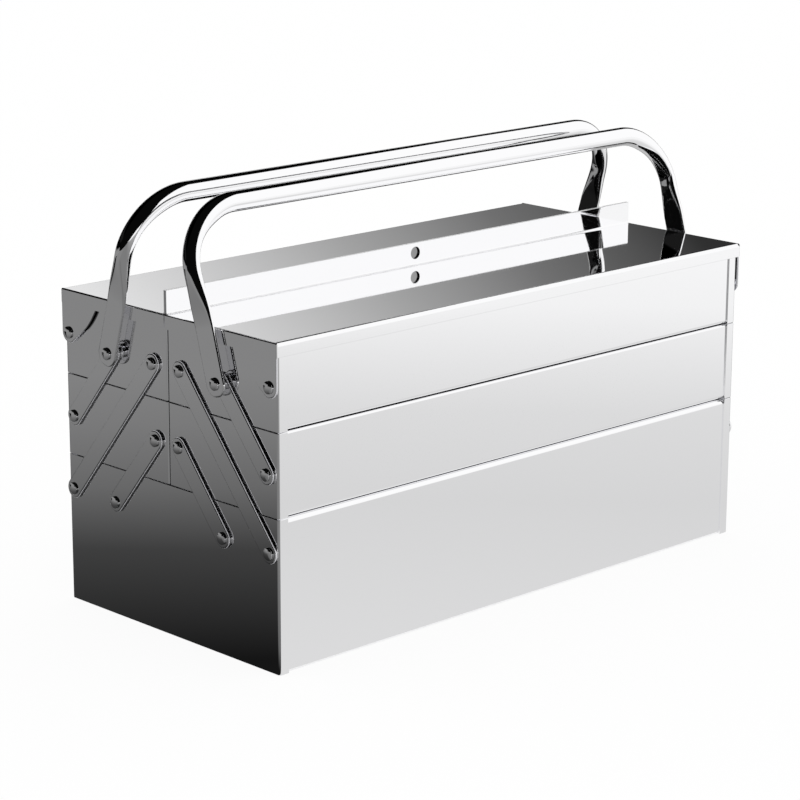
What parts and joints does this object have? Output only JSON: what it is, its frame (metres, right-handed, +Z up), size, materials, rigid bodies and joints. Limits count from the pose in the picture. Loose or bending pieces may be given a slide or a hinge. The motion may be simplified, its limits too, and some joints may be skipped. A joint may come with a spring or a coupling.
{
  "type": "cantilever tool box",
  "caption": "Polished sheet-steel tool box whose tiered trays fold out to both sides on riveted arms, with hinged lids and twin tubular carrying handles.",
  "frame": {"origin": "centre of the base's underside, on the surface that the box stands on", "axes": "+X along the length to the right end, -Y to the front long side, +Z up"},
  "size_m": [0.4382, 0.2024, 0.2772],
  "materials": {
    "polished_sheet": "mirror-polished stainless steel sheet",
    "arm_steel": "polished flat steel bar",
    "handle_steel": "mirror-polished steel tube",
    "rivet_steel": "polished domed rivet"
  },
  "bodies": {
    "base": {"base_trough": "polished_sheet", "base_end_left": "polished_sheet", "base_end_right": "polished_sheet", "base_rivets": "rivet_steel"},
    "front_long_arms": {"long_arm_front_left": "arm_steel", "long_arm_front_right": "arm_steel", "arm_studs_front": "rivet_steel"},
    "front_lower_arms": {"lower_arm_front_left": "arm_steel", "lower_arm_front_right": "arm_steel"},
    "front_mid_tray": {"mid_trough_front": "polished_sheet", "mid_end_front_left": "polished_sheet", "mid_end_front_right": "polished_sheet", "mid_rivets_front": "rivet_steel"},
    "front_upper_arms": {"upper_arm_front_left": "arm_steel", "upper_arm_front_right": "arm_steel"},
    "front_top_tray": {"top_trough_front": "polished_sheet", "top_end_front_left": "polished_sheet", "top_end_front_right": "polished_sheet", "top_rivets_front": "rivet_steel", "handle_spacers_front": "rivet_steel"},
    "front_lid": {"lid_front": "polished_sheet"},
    "front_handle": {"handle_front": "handle_steel"},
    "rear_long_arms": {"long_arm_rear_left": "arm_steel", "long_arm_rear_right": "arm_steel", "arm_studs_rear": "rivet_steel"},
    "rear_lower_arms": {"lower_arm_rear_left": "arm_steel", "lower_arm_rear_right": "arm_steel"},
    "rear_mid_tray": {"mid_trough_rear": "polished_sheet", "mid_end_rear_left": "polished_sheet", "mid_end_rear_right": "polished_sheet", "mid_rivets_rear": "rivet_steel"},
    "rear_upper_arms": {"upper_arm_rear_left": "arm_steel", "upper_arm_rear_right": "arm_steel"},
    "rear_top_tray": {"top_trough_rear": "polished_sheet", "top_end_rear_left": "polished_sheet", "top_end_rear_right": "polished_sheet", "top_rivets_rear": "rivet_steel", "handle_spacers_rear": "rivet_steel"},
    "rear_lid": {"lid_rear": "polished_sheet"},
    "rear_handle": {"handle_rear": "handle_steel"}
  },
  "joints": [
    {"name": "front_fold", "type": "hinge", "parent": "base", "child": "front_long_arms", "pos_m": [0, -0.093, 0.075], "axis": [1, 0, 0], "range_deg": [0, 79.6]},
    {"name": "front_lower_arm_turn", "type": "hinge", "parent": "base", "child": "front_lower_arms", "pos_m": [0, -0.051, 0.075], "axis": [1, 0, 0], "range_deg": [0, 79.6]},
    {"name": "front_mid_tray_turn", "type": "hinge", "parent": "front_long_arms", "child": "front_mid_tray", "pos_m": [0, -0.053, 0.123], "axis": [1, 0, 0], "range_deg": [-79.6, 0]},
    {"name": "front_top_tray_turn", "type": "hinge", "parent": "front_long_arms", "child": "front_top_tray", "pos_m": [0, -0.013, 0.171], "axis": [1, 0, 0], "range_deg": [-79.6, 0]},
    {"name": "front_upper_arm_turn", "type": "hinge", "parent": "front_mid_tray", "child": "front_upper_arms", "pos_m": [0, -0.091, 0.123], "axis": [1, 0, 0], "range_deg": [0, 79.6]},
    {"name": "front_lid_hinge", "type": "hinge", "parent": "front_top_tray", "child": "front_lid", "pos_m": [0, -0.0942, 0.1763], "axis": [1, 0, 0], "range_deg": [0, 110]},
    {"name": "front_handle_turn", "type": "hinge", "parent": "front_top_tray", "child": "front_handle", "pos_m": [0, -0.051, 0.171], "axis": [1, 0, 0], "range_deg": [0, 132]},
    {"name": "rear_fold", "type": "hinge", "parent": "base", "child": "rear_long_arms", "pos_m": [0, 0.093, 0.075], "axis": [-1, 0, 0], "range_deg": [0, 79.6]},
    {"name": "rear_lower_arm_turn", "type": "hinge", "parent": "base", "child": "rear_lower_arms", "pos_m": [0, 0.051, 0.075], "axis": [-1, 0, 0], "range_deg": [0, 79.6]},
    {"name": "rear_mid_tray_turn", "type": "hinge", "parent": "rear_long_arms", "child": "rear_mid_tray", "pos_m": [0, 0.053, 0.123], "axis": [-1, 0, 0], "range_deg": [-79.6, 0]},
    {"name": "rear_top_tray_turn", "type": "hinge", "parent": "rear_long_arms", "child": "rear_top_tray", "pos_m": [0, 0.013, 0.171], "axis": [-1, 0, 0], "range_deg": [-79.6, 0]},
    {"name": "rear_upper_arm_turn", "type": "hinge", "parent": "rear_mid_tray", "child": "rear_upper_arms", "pos_m": [0, 0.091, 0.123], "axis": [-1, 0, 0], "range_deg": [0, 79.6]},
    {"name": "rear_lid_hinge", "type": "hinge", "parent": "rear_top_tray", "child": "rear_lid", "pos_m": [0, 0.0942, 0.1763], "axis": [-1, 0, 0], "range_deg": [0, 110]},
    {"name": "rear_handle_turn", "type": "hinge", "parent": "rear_top_tray", "child": "rear_handle", "pos_m": [0, 0.051, 0.171], "axis": [-1, 0, 0], "range_deg": [0, 132]}
  ],
  "couplings": [
    {"joint": "front_lower_arm_turn", "follows": "front_fold", "ratio": 1},
    {"joint": "front_mid_tray_turn", "follows": "front_fold", "ratio": -1},
    {"joint": "front_top_tray_turn", "follows": "front_fold", "ratio": -1},
    {"joint": "front_upper_arm_turn", "follows": "front_fold", "ratio": 1},
    {"joint": "front_handle_turn", "follows": "front_lid_hinge", "ratio": 1.2},
    {"joint": "rear_lower_arm_turn", "follows": "rear_fold", "ratio": 1},
    {"joint": "rear_mid_tray_turn", "follows": "rear_fold", "ratio": -1},
    {"joint": "rear_top_tray_turn", "follows": "rear_fold", "ratio": -1},
    {"joint": "rear_upper_arm_turn", "follows": "rear_fold", "ratio": 1},
    {"joint": "rear_handle_turn", "follows": "rear_lid_hinge", "ratio": 1.2}
  ]
}
